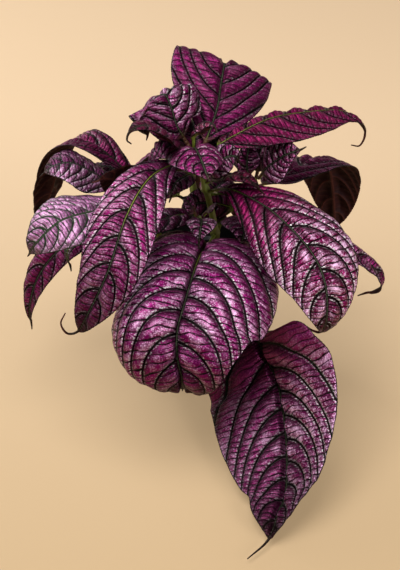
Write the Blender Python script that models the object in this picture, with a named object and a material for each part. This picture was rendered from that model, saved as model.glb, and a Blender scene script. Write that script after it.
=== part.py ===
"""A persian shield plant in a plain nursery pot.

The frame's origin is the centre of the pot's underside, +Z is up and the plant's best side
faces -Y. Every leaf is a solid of its own: a slab of unit size that is bent along a midrib,
folded at it and raised between its side veins.
"""

import math
from collections import namedtuple

import bmesh
import bpy
from mathutils import Vector, noise

MM = 0.001  # sizes below are in millimetres
GAP = 0.3  # between solids that touch on the real plant

# Pot
POT_HEIGHT = 92.0
POT_BASE_RADIUS = 37.0
POT_RIM_RADIUS = 53.0
POT_RIM_DEPTH = 12.0
POT_RIM_STEP = 2.5
POT_WALL = 1.2
POT_FLOOR = 2.2
POT_FOOT_BEVEL = 1.5
POT_EDGE_BEVEL = 0.5
POT_LEDGE_RISE = 0.6
POT_LEDGE_WALL = 2.0
POT_SIDES = 32
DRAIN_HOLES = 5
DRAIN_RADIUS = 4.0
DRAIN_CIRCLE = 24.0
CUT_CLEAR = 2.0  # how far a cutter runs past the face that it cuts

# Soil
SOIL_TOP = 80.0
SOIL_EDGE_DROP = 3.0
SOIL_RINGS = 4
SOIL_LUMP = 1.6
SOIL_LUMP_SPAN = 14.0
SOIL_LUMP_SEED = 5.0
HOLE_GAP = 0.9
HOLE_SIDES = 10

# Stems
STEM_STEP = 6.0
STEM_TIP_RADIUS = 1.5
NODE_SWELL = 0.35
NODE_SPAN = 4.0

# Leaves
BLADE_THICKNESS = 0.8
RIB_THICKNESS = 1.9
STALK_HALF_WIDTH = 1.3
TIP_HALF_WIDTH = 0.4
STALK_ROWS = 2
TIP_ROWS = 2
COLUMNS = 4
ROOT_GAP = 0.5
VEIN_SWEEP = 0.5
VEIN_SWEEP_POWER = 1.5
FAN_START = 0.25
QUILT_SHARE = 0.14
QUILT_EDGE = 1.15  # a little over 1, so that the ridges reach the edge
SCALLOP_SHARE = 0.025

Stem = namedtuple("Stem", "name radius nodes points")
STEMS = (
    Stem(
        "stem_main", 3.2, (113, 152, 172),
        ((13, 3, 62), (13, 3, 88), (10, 2, 122), (4, -2, 152), (-1, -5, 172), (-6, -8, 187)),
    ),
    Stem(
        "stem_right", 2.8, (118, 146),
        ((30, 18, 62), (30, 18, 88), (35, 14, 122), (40, 10, 154)),
    ),
    Stem(
        "stem_left", 2.8, (125, 147),
        ((-24, 8, 62), (-24, 8, 88), (-35, 4, 122), (-45, 0, 154)),
    ),
    Stem(
        "stem_back", 2.8, (130, 145),
        ((-2, 30, 62), (-2, 30, 88), (-5, 38, 130), (-6, 42, 165)),
    ),
    Stem(
        "stem_front", 2.3, (84,),
        (
            (24, -22, 62), (24, -22, 90), (26, -31, 101), (32, -48, 105), (37, -58, 100),
            (39, -62, 88), (39, -62, 75),
        ),
    ),
    Stem(
        "stem_young", 2.0, (124,),
        ((-6, -10, 62), (-6, -10, 88), (-5, -12, 115), (0, -19, 139)),
    ),
)

Leaf = namedtuple("Leaf", "name stem height width stalk spine roll fold arch belly taper tip veins")


def leaf(
    name, stem, height, width, stalk, spine,
    roll=(0, 0), fold=(8, 8), arch=(25, 25), belly=0.42, taper=1.1, tip=5, veins=8,
):
    """A leaf that leaves its stem at a height and follows the spine, with the last stretch of it,
    the tip's length, drawn out to a point. fold and arch are the left half's and the right
    half's, in degrees, seen from above with the tip ahead: fold raises a half at the midrib and
    arch bends it down towards its edge. roll lowers the right side, at the stalk and at the tip.
    belly is where the blade is widest, as a share of its length, and taper is how soon it
    narrows from there. veins counts the side veins of one half."""
    return Leaf(name, stem, height, width, stalk, spine, roll, fold, arch, belly, taper, tip, veins)


LEAVES = (
    leaf(
        "leaf_crown_back", "stem_main", 181, 77, 14,
        (
            (3, 4, 184), (12, 29, 199), (15, 51, 208), (18, 71, 217), (18, 82, 209), (16, 92, 190),
            (12, 98, 162),
        ),
        roll=(8, 18), fold=(8, 10), arch=(12, 36), belly=0.5, taper=1.0,
    ),
    leaf(
        "leaf_crown_left", "stem_main", 185, 62, 8,
        (
            (-10, -4, 191), (-16, -4, 202), (-20, 3, 213), (-25, 9, 220), (-32, 15, 213), (-36, 21, 198),
            (-39, 25, 177),
        ),
        roll=(-15, -8), fold=(0, 0), arch=(24, 34), belly=0.45, taper=1.0,
    ),
    leaf(
        "leaf_crown_side", "stem_main", 183, 24, 6,
        (
            (-16, -14, 193), (-28, -32, 213), (-38, -44, 221), (-46, -54, 221), (-48, -57, 216),
            (-45, -57, 213),
        ),
        roll=(-10, -10), fold=(0, 0), arch=(30, 30), tip=10, veins=6,
    ),
    leaf(
        "leaf_crown_low", "stem_main", 179, 42, 6,
        ((-14, -4, 186), (-22, -4, 192), (-29, -4, 189), (-34, -4, 181), (-37, -2, 168)),
        fold=(0, 0), arch=(40, 40), veins=6,
    ),
    leaf(
        "leaf_crown_front", "stem_main", 184, 44, 3,
        ((-4, -18, 192), (-1, -28, 192), (2, -38, 189), (5, -46, 184), (9, -50, 179)),
        roll=(8, 8), fold=(12, 12), arch=(85, 40), belly=0.38, taper=1.15, veins=5,
    ),
    leaf(
        "leaf_crown_curl", "stem_main", 184, 18, 6,
        ((-5, -9, 198), (-1, -8, 205), (5, -12, 209), (10, -17, 208), (12, -22, 205)),
        fold=(-20, -20), arch=(60, 60), veins=5,
    ),
    leaf(
        "leaf_crown_rear", "stem_main", 175, 34, 5,
        ((-4, 5, 181), (-4, 18, 184), (-5, 32, 187), (-5, 46, 184), (-5, 54, 176)),
        veins=5,
    ),
    leaf(
        "leaf_crown_inner", "stem_main", 167, 34, 6,
        ((6, 8, 176), (14, 22, 177), (22, 34, 177), (28, 44, 170)),
        veins=5,
    ),
    leaf(
        "leaf_long_right", "stem_main", 172, 50, 16,
        (
            (9, -2, 183), (26, 8, 190), (52, 25, 195), (84, 39, 194), (104, 46, 191), (118, 48, 183),
            (123, 48, 171), (119, 46, 162), (112, 45, 163),
        ),
        roll=(8, 0), fold=(-17, -12), arch=(38, 20), tip=18,
    ),
    leaf(
        "leaf_main_inner", "stem_main", 164, 24, 6,
        ((9, -12, 174), (17, -12, 181), (25, -10, 181), (29, -8, 173)),
        roll=(40, 50), fold=(15, 15), veins=5,
    ),
    leaf(
        "leaf_main_low", "stem_main", 167, 24, 5,
        ((-10, -13, 168), (-18, -19, 164), (-22, -22, 151)),
        fold=(5, 5), veins=5,
    ),
    leaf(
        "leaf_left_long", "stem_main", 173, 50, 14,
        (
            (-10, -15, 179), (-19, -22, 181), (-35, -42, 180), (-49, -68, 166), (-61, -94, 138),
            (-76, -103, 108), (-82, -103, 97), (-89, -102, 95), (-93, -100, 101), (-90, -98, 108),
        ),
        roll=(-5, -15), fold=(12, 12), arch=(40, 25), tip=23, belly=0.52, taper=0.9,
    ),
    leaf(
        "leaf_right_large", "stem_main", 150, 68, 10,
        (
            (16, -12, 157), (28, -20, 158), (51, -42, 154), (74, -70, 141), (84, -84, 124),
            (86, -93, 103), (83, -94, 90), (77, -92, 89), (69, -89, 94),
        ),
        roll=(10, 14), fold=(5, 8), arch=(32, 60), tip=15, belly=0.55, taper=1.0,
    ),
    leaf(
        "leaf_right_curl", "stem_main", 157, 25, 5,
        ((16, -9, 165), (27, -17, 170), (37, -24, 168), (45, -28, 161)),
        roll=(-10, -10), fold=(5, 5), veins=5,
    ),
    leaf(
        "leaf_inner_left", "stem_main", 119, 30, 10,
        ((-9, -1, 130), (-28, -16, 134), (-44, -26, 128), (-55, -32, 113)),
        veins=6,
    ),
    leaf(
        "leaf_inner_mid", "stem_main", 140, 32, 6,
        ((8, 10, 142), (15, 18, 145), (21, 24, 145), (26, 27, 141)),
        veins=5,
    ),
    leaf(
        "leaf_front", "stem_main", 113, 134, 16,
        (
            (5, -24, 117), (1, -40, 121), (-4, -66, 122), (-10, -94, 115), (-15, -114, 105),
            (-15, -124, 90), (-12, -124, 72), (-12, -117, 57),
        ),
        fold=(28, 44), arch=(85, 135), belly=0.42, taper=0.75, tip=3, veins=9,
    ),
    leaf(
        "leaf_low_back", "stem_main", 108, 40, 12,
        ((16, 22, 112), (22, 40, 104), (26, 56, 88), (27, 62, 68)),
        veins=6,
    ),
    leaf(
        "leaf_right_young", "stem_right", 151, 38, 5,
        ((48, 7, 164), (60, 4, 175), (69, 2, 180), (75, 2, 183)),
        roll=(35, 35), fold=(10, 10), arch=(15, 15), veins=7,
    ),
    leaf(
        "leaf_right_dark", "stem_right", 151, 20, 5,
        ((34, 5, 162), (34, 8, 174), (37, 14, 181), (41, 20, 182)),
        roll=(40, 40), fold=(25, 25), veins=5,
    ),
    leaf(
        "leaf_right_inner", "stem_right", 148, 28, 6,
        ((42, 17, 158), (44, 27, 166), (46, 35, 168), (48, 43, 162)),
        veins=5,
    ),
    leaf(
        "leaf_right_back", "stem_right", 146, 54, 12,
        (
            (48, 24, 143), (58, 36, 140), (72, 52, 141), (88, 68, 140), (100, 80, 129), (106, 88, 104),
            (110, 90, 64),
        ),
        roll=(0, -25), fold=(8, 8), belly=0.5, taper=0.75,
    ),
    leaf(
        "leaf_right_low", "stem_right", 130, 30, 14,
        (
            (55, 2, 131), (72, -8, 131), (100, -28, 122), (115, -34, 113), (128, -38, 102),
            (129, -40, 91), (114, -36, 82),
        ),
        roll=(-15, -15), tip=8, veins=7,
    ),
    leaf(
        "leaf_inner_right", "stem_right", 118, 38, 10,
        ((34, -8, 130), (32, -26, 132), (28, -42, 125)),
        veins=6,
    ),
    leaf(
        "leaf_inner_back", "stem_right", 120, 26, 8,
        ((24, 18, 125), (10, 20, 128), (-6, 20, 127), (-18, 18, 120)),
        roll=(-50, -50), veins=5,
    ),
    leaf(
        "leaf_left_pale", "stem_left", 147, 53, 14,
        ((-59, -24, 150), (-71, -36, 153), (-94, -56, 156), (-111, -64, 143), (-118, -64, 132)),
        roll=(-6, -6), fold=(0, 6), arch=(40, 15), belly=0.48, taper=0.95, tip=3,
    ),
    leaf(
        "leaf_left_mid", "stem_left", 149, 48, 14,
        ((-59, 4, 151), (-76, 3, 162), (-89, 0, 171), (-99, -2, 172), (-107, -4, 169), (-114, -6, 163)),
        fold=(-5, 5), arch=(28, 20), belly=0.52, taper=0.75, veins=7,
    ),
    leaf(
        "leaf_left_back", "stem_left", 143, 42, 14,
        (
            (-53, 18, 154), (-74, 30, 169), (-88, 36, 171), (-99, 40, 163), (-106, 42, 149),
            (-114, 44, 124), (-125, 41, 97),
        ),
        roll=(0, 18), fold=(10, 15), arch=(10, 10), belly=0.55, taper=0.7,
    ),
    leaf(
        "leaf_left_low", "stem_left", 125, 26, 14,
        (
            (-58, -4, 125), (-78, -14, 123), (-99, -22, 115), (-117, -26, 93), (-125, -28, 68),
            (-125, -27, 47),
        ),
        roll=(-10, -45), fold=(15, 15), tip=8, veins=7,
    ),
    leaf(
        "leaf_left_tip", "stem_left", 129, 14, 16,
        ((-68, -24, 135), (-86, -38, 131), (-93, -44, 123), (-91, -46, 109)),
        veins=5,
    ),
    leaf(
        "leaf_left_under", "stem_left", 152, 30, 4,
        ((-52, -12, 163), (-58, -24, 171), (-66, -33, 176), (-74, -39, 176)),
        roll=(60, 60), veins=5,
    ),
    leaf(
        "leaf_left_inner", "stem_left", 137, 32, 14,
        ((-50, 16, 146), (-64, 31, 151), (-78, 40, 149), (-88, 46, 138)),
        veins=6,
    ),
    leaf(
        "leaf_young_front", "stem_young", 137, 22, 3,
        ((1, -34, 143), (0, -43, 139), (-1, -47, 128)),
        taper=1.4, veins=5,
    ),
    leaf(
        "leaf_young_left", "stem_young", 136, 20, 3,
        ((-6, -17, 146), (-11, -15, 151), (-17, -14, 153)),
        veins=5,
    ),
    leaf(
        "leaf_young_right", "stem_young", 138, 12, 3,
        ((8, -18, 145), (12, -18, 148), (16, -20, 146)),
        veins=5,
    ),
    leaf(
        "leaf_back_high_left", "stem_back", 161, 42, 12,
        ((-22, 50, 160), (-39, 60, 145), (-48, 70, 124), (-52, 76, 100)),
        veins=7,
    ),
    leaf(
        "leaf_back_high_right", "stem_back", 160, 40, 12,
        ((14, 46, 158), (30, 54, 142), (42, 58, 122), (48, 59, 98)),
        veins=7,
    ),
    leaf(
        "leaf_back_centre", "stem_back", 145, 48, 12,
        ((-4, 62, 147), (-2, 88, 132), (0, 104, 106), (0, 110, 78)),
        veins=7,
    ),
    leaf(
        "leaf_back_mid_left", "stem_back", 118, 44, 12,
        ((-20, 46, 122), (-42, 56, 112), (-56, 64, 92), (-62, 68, 70)),
        veins=7,
    ),
    leaf(
        "leaf_back_mid_right", "stem_back", 120, 42, 12,
        ((10, 50, 122), (26, 66, 108), (34, 78, 86), (36, 82, 62)),
        veins=7,
    ),
    leaf(
        "leaf_trailing", "stem_front", 78, 108, 4,
        (
            (40, -68, 68), (47, -79, 57), (55, -94, 44), (59, -128, 25), (57, -168, 13), (51, -186, 10),
            (44, -206, 6), (30, -222, 4),
        ),
        roll=(18, 0), fold=(48, 5), arch=(25, 30), belly=0.25, taper=0.8, tip=22, veins=9,
    ),
)


class Path:
    """A smooth line through a few points, read by the distance along it."""

    STEPS = 14

    def __init__(self, points):
        knots = [Vector(p) for p in points]
        knots = [2 * knots[0] - knots[1], *knots, 2 * knots[-1] - knots[-2]]
        self.points = [knots[1]]
        for before, start, end, after in zip(knots, knots[1:], knots[2:], knots[3:]):
            for step in range(1, self.STEPS + 1):
                self.points.append(self.between(before, start, end, after, step / self.STEPS))
        self.marks = [0.0]
        for a, b in zip(self.points, self.points[1:]):
            self.marks.append(self.marks[-1] + (b - a).length)
        self.length = self.marks[-1]

    @staticmethod
    def between(before, start, end, after, t):
        """A Catmull-Rom span from start to end."""
        bend = 2 * before - 5 * start + 4 * end - after
        twist = 3 * (start - end) + after - before
        return start + 0.5 * t * ((end - before) + t * (bend + t * twist))

    def at(self, distance):
        distance = min(max(distance, 0.0), self.length)
        low, high = 0, len(self.marks) - 1
        while high - low > 1:
            middle = (low + high) // 2
            low, high = (middle, high) if self.marks[middle] <= distance else (low, middle)
        share = (distance - self.marks[low]) / max(self.marks[high] - self.marks[low], 1e-9)
        return self.points[low].lerp(self.points[high], share)

    def height_mark(self, height):
        """The distance along at which the line first comes nearest to a height."""
        return min(self.marks, key=lambda mark: abs(self.at(mark).z - height))

    def heading(self, distance, reach=2.0):
        return (self.at(distance + reach) - self.at(distance - reach)).normalized()


def material(name, colour, roughness, metallic=0.0):
    made = bpy.data.materials.new(name)
    made.use_nodes = True
    shader = made.node_tree.nodes["Principled BSDF"]
    shader.inputs["Base Color"].default_value = (*colour, 1.0)
    shader.inputs["Roughness"].default_value = roughness
    shader.inputs["Metallic"].default_value = metallic
    made.diffuse_color = (*colour, 1.0)
    return made


def solid(name, bm, finish, smooth=True):
    """The bmesh, in millimetres, as an object of the scene."""
    bmesh.ops.recalc_face_normals(bm, faces=bm.faces)
    if bm.calc_volume(signed=True) < 0:
        bmesh.ops.reverse_faces(bm, faces=bm.faces)
    bmesh.ops.scale(bm, vec=(MM, MM, MM), verts=bm.verts)
    mesh = bpy.data.meshes.new(name)
    bm.to_mesh(mesh)
    bm.free()
    if smooth:
        mesh.shade_smooth()
        mesh.set_sharp_from_angle(angle=math.radians(40))
    mesh.materials.append(finish)
    made = bpy.data.objects.new(name, mesh)
    bpy.context.scene.collection.objects.link(made)
    return made


def turned(profile, sides):
    """A closed shape turned about Z from (radius, height) points."""
    bm = bmesh.new()
    corners = [bm.verts.new((radius, 0, height)) for radius, height in profile]
    edges = [bm.edges.new(pair) for pair in zip(corners, corners[1:])]
    bmesh.ops.spin(
        bm, geom=corners + edges, axis=(0, 0, 1), cent=(0, 0, 0),
        angle=math.tau, steps=sides, use_merge=True,
    )
    bmesh.ops.remove_doubles(bm, verts=bm.verts, dist=0.01)
    return bm


def cylinder(bm, centre, radius, low, high, sides):
    made = bmesh.ops.create_cone(
        bm, cap_ends=True, segments=sides, radius1=radius, radius2=radius, depth=high - low
    )
    bmesh.ops.translate(bm, verts=made["verts"], vec=(centre[0], centre[1], (low + high) / 2))


def cut(body, cutter_name, bm):
    """Cuts the bmesh from the body with an EXACT Boolean, and drops the cutter."""
    cutter = solid(cutter_name, bm, body.data.materials[0], smooth=False)
    modifier = body.modifiers.new(cutter_name, "BOOLEAN")
    modifier.operation = "DIFFERENCE"
    modifier.solver = "EXACT"
    modifier.object = cutter
    cutter.hide_render = True
    cutter.display_type = "WIRE"


def pot_wall_radius(height, inset=0.0):
    """The outside radius of the tapered wall, below the rim."""
    share = height / (POT_HEIGHT - POT_RIM_DEPTH)
    return POT_BASE_RADIUS + share * (POT_RIM_RADIUS - POT_RIM_STEP - POT_BASE_RADIUS) - inset


def build_pot(finish):
    under_rim = POT_HEIGHT - POT_RIM_DEPTH
    profile = (
        (0, 0),
        (POT_BASE_RADIUS - POT_FOOT_BEVEL, 0),
        (POT_BASE_RADIUS, POT_FOOT_BEVEL),
        (pot_wall_radius(under_rim), under_rim),
        (POT_RIM_RADIUS, under_rim + POT_LEDGE_RISE),
        (POT_RIM_RADIUS, POT_HEIGHT - POT_EDGE_BEVEL),
        (POT_RIM_RADIUS - POT_EDGE_BEVEL, POT_HEIGHT),
        (POT_RIM_RADIUS - POT_WALL, POT_HEIGHT),
        (POT_RIM_RADIUS - POT_WALL, under_rim + POT_LEDGE_WALL),
        (pot_wall_radius(under_rim, POT_WALL), under_rim),
        (pot_wall_radius(POT_FLOOR, POT_WALL), POT_FLOOR),
        (0, POT_FLOOR),
    )
    pot = solid("pot", turned(profile, POT_SIDES), finish)
    holes = bmesh.new()
    for number in range(DRAIN_HOLES):
        angle = math.tau * (number + 0.5) / DRAIN_HOLES
        centre = (DRAIN_CIRCLE * math.cos(angle), DRAIN_CIRCLE * math.sin(angle))
        cylinder(holes, centre, DRAIN_RADIUS, -CUT_CLEAR, POT_FLOOR + CUT_CLEAR, HOLE_SIDES)
    cut(pot, "drain_holes", holes)


def soil_height(x, y):
    return SOIL_TOP + SOIL_LUMP * noise.noise(Vector((x, y, SOIL_LUMP_SEED)) / SOIL_LUMP_SPAN)


def build_soil(finish):
    low, shoulder = POT_FLOOR + GAP, SOIL_TOP - SOIL_EDGE_DROP
    inset = POT_WALL + 2 * GAP
    edge = pot_wall_radius(shoulder, inset)
    rings = [(edge * (1 - step / SOIL_RINGS), SOIL_TOP) for step in range(SOIL_RINGS + 1)]
    bm = turned([(0, low), (pot_wall_radius(low, inset), low), (edge, shoulder), *rings], POT_SIDES)
    for vert in bm.verts:
        if vert.co.z > (shoulder + SOIL_TOP) / 2:
            vert.co.z = soil_height(vert.co.x, vert.co.y)
    soil = solid("soil", bm, finish)
    holes = bmesh.new()
    for stem in STEMS:
        x, y, _ = stem.points[1]
        low, high = stem.points[0][2] - GAP, SOIL_TOP + SOIL_LUMP + CUT_CLEAR
        cylinder(holes, (x, y), stem.radius + HOLE_GAP, low, high, HOLE_SIDES)
    cut(soil, "stem_holes", holes)


def stem_radius(stem, path, distance):
    """The stem's radius there: it thins upwards and swells at its nodes."""
    share = distance / path.length
    radius = stem.radius + (STEM_TIP_RADIUS - stem.radius) * share
    height = path.at(distance).z
    swell = sum(math.exp(-(((height - node) / NODE_SPAN) ** 2)) for node in stem.nodes)
    return radius * (1 + NODE_SWELL * min(swell, 1))


def build_stem(stem, finish):
    path = Path(stem.points)
    count = round(path.length / STEM_STEP)
    curve = bpy.data.curves.new(stem.name, "CURVE")
    curve.dimensions = "3D"
    curve.bevel_depth = MM
    curve.bevel_resolution = 1
    curve.use_fill_caps = True
    spline = curve.splines.new("POLY")
    spline.points.add(count)
    for number, point in enumerate(spline.points):
        distance = path.length * number / count
        point.co = (*(path.at(distance) * MM), 1)
        point.radius = stem_radius(stem, path, distance)
    curve.materials.append(finish)
    made = bpy.data.objects.new(stem.name, curve)
    bpy.context.scene.collection.objects.link(made)


def half_width(leaf, along):
    """Half the blade's width at a share of its length, between the stalk and the drawn-out tip."""
    along = min(max(along, 0.0), 1.0)
    power = leaf.taper * leaf.belly / (1 - leaf.belly)
    top = leaf.belly**power * (1 - leaf.belly) ** leaf.taper
    swell = along**power * (1 - along) ** leaf.taper / top
    stalk = STALK_HALF_WIDTH + (TIP_HALF_WIDTH - STALK_HALF_WIDTH) * along
    return stalk + (leaf.width / 2 - stalk) * swell


def section(fold, arch, full, reach):
    """Across one half: (outward, upward, slope) at a distance from the midrib. The half bends
    at one rate, and by the whole arch where it has its full width."""
    start, bend = math.radians(fold), math.radians(arch) / full
    slope = start - bend * reach
    if abs(bend * reach) < 1e-4:
        return reach * math.cos(start), reach * math.sin(start), slope
    outward = (math.sin(start) - math.sin(slope)) / bend
    upward = (math.cos(slope) - math.cos(start)) / bend
    return outward, upward, slope


class Blade:
    """Where each point of a leaf lies."""

    def __init__(self, leaf):
        self.leaf = leaf
        stem = next(s for s in STEMS if s.name == leaf.stem)
        stem_path = Path(stem.points)
        mark = stem_path.height_mark(leaf.height)
        self.path = Path((stem_path.at(mark), *leaf.spine))
        turn = stem_path.heading(mark).cross(self.path.heading(1.0)).length
        self.root = (stem_radius(stem, stem_path, mark) + ROOT_GAP) / max(turn, 0.5)
        self.end = self.path.length - leaf.tip
        run = Vector(leaf.spine[-1]) - self.path.points[0]
        self.level = Vector((run.x, run.y, 0)).normalized().cross(Vector((0, 0, 1)))

    def frame(self, distance):
        """The midrib's point there, and the blade's right and upper directions."""
        ahead = self.path.heading(distance)
        right = (self.level - ahead * self.level.dot(ahead)).normalized()
        up = right.cross(ahead)
        share = distance / self.path.length
        start, end = self.leaf.roll
        roll = math.radians(start + (end - start) * share)
        return (
            self.path.at(distance),
            right * math.cos(roll) - up * math.sin(roll),
            up * math.cos(roll) + right * math.sin(roll),
        )

    def place(self, row, across, lower):
        """row counts along the leaf, from the stalk's foot; across runs from -1 to 1."""
        leaf = self.leaf
        rows = 2 * leaf.veins
        foot = self.root + leaf.stalk
        if row <= STALK_ROWS:
            along, distance, crest = 0.0, self.root + leaf.stalk * row / STALK_ROWS, 0.0
        elif row > STALK_ROWS + rows:
            share = (row - STALK_ROWS - rows) / TIP_ROWS
            along, distance, crest = 1.0, self.end + leaf.tip * share, 0.0
        else:
            start = (row - STALK_ROWS) / rows
            fan = start / (start + FAN_START)
            along = start + VEIN_SWEEP * (1 - start) * fan * abs(across) ** VEIN_SWEEP_POWER
            distance = foot + (self.end - foot) * along
            crest = abs(math.sin(math.pi * leaf.veins * start))
        half = half_width(leaf, along) * (1 + SCALLOP_SHARE * crest * abs(across))
        side, sign = (1, 1) if across > 0 else (0, -1)
        bend = leaf.fold[side], leaf.arch[side]
        outward, upward, slope = section(*bend, leaf.width / 2, abs(across) * half)
        origin, right, up = self.frame(distance)
        if across:
            normal = up * math.cos(slope) - right * (sign * math.sin(slope))
            thick = BLADE_THICKNESS
        else:
            normal = up
            thick = RIB_THICKNESS - (RIB_THICKNESS - BLADE_THICKNESS) * along
        quilt = QUILT_SHARE * half * crest * abs(across) * (QUILT_EDGE - abs(across))
        lift = quilt - thick * lower
        return origin + right * (sign * outward) + up * upward + normal * lift


def build_leaf(leaf, finish):
    rows = STALK_ROWS + 2 * leaf.veins + TIP_ROWS
    blade = Blade(leaf)
    bm = bmesh.new()
    bmesh.ops.create_grid(bm, x_segments=rows, y_segments=COLUMNS, size=1)
    bmesh.ops.triangulate(bm, faces=bm.faces)
    bmesh.ops.extrude_face_region(bm, geom=bm.faces[:], use_keep_orig=True)
    top = len(bm.verts) // 2
    bm.verts.ensure_lookup_table()
    for number, vert in enumerate(bm.verts):
        row = round((vert.co.x + 1) / 2 * rows)
        across = round((vert.co.y + 1) / 2 * COLUMNS) / COLUMNS * 2 - 1
        vert.co = blade.place(row, across, number >= top)
    solid(leaf.name, bm, finish)


def main():
    for old in list(bpy.data.objects):
        bpy.data.objects.remove(old)
    pot_black = material("pot_plastic", (0.03, 0.03, 0.032), 0.5)
    earth = material("potting_soil", (0.05, 0.03, 0.02), 0.95)
    green = material("stem_green", (0.12, 0.2, 0.06), 0.5)
    purple = material("leaf_purple", (0.24, 0.02, 0.15), 0.35, 0.3)
    build_pot(pot_black)
    build_soil(earth)
    for stem in STEMS:
        build_stem(stem, green)
    for leaf in LEAVES:
        build_leaf(leaf, purple)


main()
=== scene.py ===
"""The looks of a persian shield plant: quilted leaves with dark veins and silver, stems, soil, pot.

Sizes are in millimetres until a mesh is finished. The tables of stems and leaves, and the
formulas that bend a leaf, are those of the frame's own solids, worked out on a finer grid.
"""

import math
import random
from collections import namedtuple

import bmesh
import bpy
import numpy as np
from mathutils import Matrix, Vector, noise


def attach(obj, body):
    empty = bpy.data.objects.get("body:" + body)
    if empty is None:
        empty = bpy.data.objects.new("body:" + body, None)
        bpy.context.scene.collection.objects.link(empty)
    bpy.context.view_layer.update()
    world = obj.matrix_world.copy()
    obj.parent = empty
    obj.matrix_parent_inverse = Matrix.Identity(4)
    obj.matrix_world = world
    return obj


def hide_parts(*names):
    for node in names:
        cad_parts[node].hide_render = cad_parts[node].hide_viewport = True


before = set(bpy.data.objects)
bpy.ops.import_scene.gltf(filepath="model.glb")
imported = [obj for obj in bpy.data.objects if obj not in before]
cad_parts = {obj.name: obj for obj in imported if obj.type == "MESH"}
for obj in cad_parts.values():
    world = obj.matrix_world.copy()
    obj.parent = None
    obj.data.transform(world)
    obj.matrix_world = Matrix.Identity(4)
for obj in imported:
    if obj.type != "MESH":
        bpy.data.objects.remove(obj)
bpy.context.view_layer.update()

MM = 0.001

# Camera and stage
IMAGE_HEIGHT = 570
PIXEL_SIZE = 0.78  # one pixel of the picture at the target's distance
CAMERA_ELEVATION = 32.0
CAMERA_DISTANCE = 1000.0
CAMERA_TARGET = (0.0, 31.0, 49.6)
SENSOR = 36.0
FLOOR_SIZE = 6000.0
LIGHT_TARGET = (0.0, 31.0, 109.6)
LIGHTS = (  # name, place and size in metres, watts
    ("key", (-0.3, -0.25, 1.6), 1.2, 27),
    ("rear", (-0.9, 0.9, 0.9), 0.7, 12),
    ("fill", (1.1, -1.1, 0.75), 0.6, 14),
    ("front", (-0.8, -0.9, 1.2), 0.5, 6),
)
WORLD_TINT = (1.0, 0.94, 0.85, 1.0)
WORLD_STRENGTH = 0.22

# Pot
POT_HEIGHT = 92.0
POT_BASE_RADIUS = 37.0
POT_RIM_RADIUS = 53.0
POT_RIM_DEPTH = 12.0
POT_RIM_STEP = 2.5
POT_WALL = 1.2
POT_FLOOR = 2.2
POT_FOOT_BEVEL = 1.5
POT_EDGE_BEVEL = 0.5
POT_LEDGE_RISE = 0.6
POT_LEDGE_WALL = 2.0
POT_SIDES = 128
POT_RINGS = (14.0, 40.0, 66.0)
POT_RING_DEPTH = 0.35
POT_RING_HALF = 0.9
DRAIN_HOLES = 5
DRAIN_RADIUS = 4.0
DRAIN_CIRCLE = 24.0
DRAIN_SIDES = 24
CUT_CLEAR = 2.0
SHARP_ANGLE = 40.0
TURN_SEAM = 0.01  # points of a turned shape closer together than this are one

# Soil
SOIL_TOP = 80.0
SOIL_DEPTH = 14.0
SOIL_RADIUS = 48.6
SOIL_LUMP = 1.6
SOIL_LUMP_SPAN = 14.0
SOIL_LUMP_SEED = 5.0
SOIL_GRAIN = 0.9
SOIL_GRAIN_SPAN = 3.2
SOIL_DROP = 1.5  # at the pot's wall
SOIL_CELLS = 92
CRUMBS = 420
CRUMB_SIZES = (0.8, 2.4)
CRUMB_ROUNDNESS = 1
CRUMB_SEED = 11
FLECKS = 70
FLECK_SIZES = (0.8, 1.7)
FLECK_ROUNDNESS = 2
FLECK_SEED = 12
LUMP_REACH = 0.96  # of the soil's radius
LUMP_STEM_CLEAR = 4.0
LUMP_DENT = 0.35
LUMP_DENT_RATE = 0.9
LUMP_BREADTHS = (0.6, 1.0)
LUMP_HEIGHTS = (0.5, 0.9)
LUMP_LIFT = 0.2

# Stems
STEM_STEP = 1.1
STEM_SIDES = 24
STEM_TIP_RADIUS = 1.5
STEM_SQUARE = 0.05
STEM_END_SHARE = 0.02
STEM_SEAM = 0.001
NODE_SWELL = 0.35
NODE_SPAN = 4.0
NODE_RING = 0.12
NODE_RING_SPAN = 0.8

# Leaf grid
ROW_STEP = 0.88
COLUMN_STEP = 0.88
COLUMN_POWER = 1.2  # over 1, so that the columns crowd towards the midrib
LEAST_COLUMNS = 6  # of one half
ROOT_SINK = 0.4
LEAST_TURN = 0.5

# Leaf form
STALK_HALF_WIDTH = 1.3
STALK_DEPTH = 1.0
TIP_HALF_WIDTH = 0.9
TIP_THINNING = 0.6
ROOT_GAP = 0.5
EDGE_HALF_THICKNESS = 0.07
BLADE_THICKNESS = 0.62
EDGE_THICKNESS = 0.3
TOOTH_STEP = 2.3
TOOTH_DEPTH = 0.4
WAVE_RISE = 0.9
WAVE_SPAN = 24.0
RUFFLE_RISE = 0.9
RUFFLE_SPAN = 9.0
LEAF_SEED_STEP = 3.7
WAVE_SEED = 0.37
RUFFLE_SEED = 0.71
BODY_SPAN = (2.0, 8.0)  # the half widths over which a leaf takes on its waves and veins
STALK_BLEND = (-2.0, 6.0)  # past the stalk's end, where it turns from round to flat
TIP_BLEND = (-3.0, 1.0)  # past the blade's end, where it turns from flat to round

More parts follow.
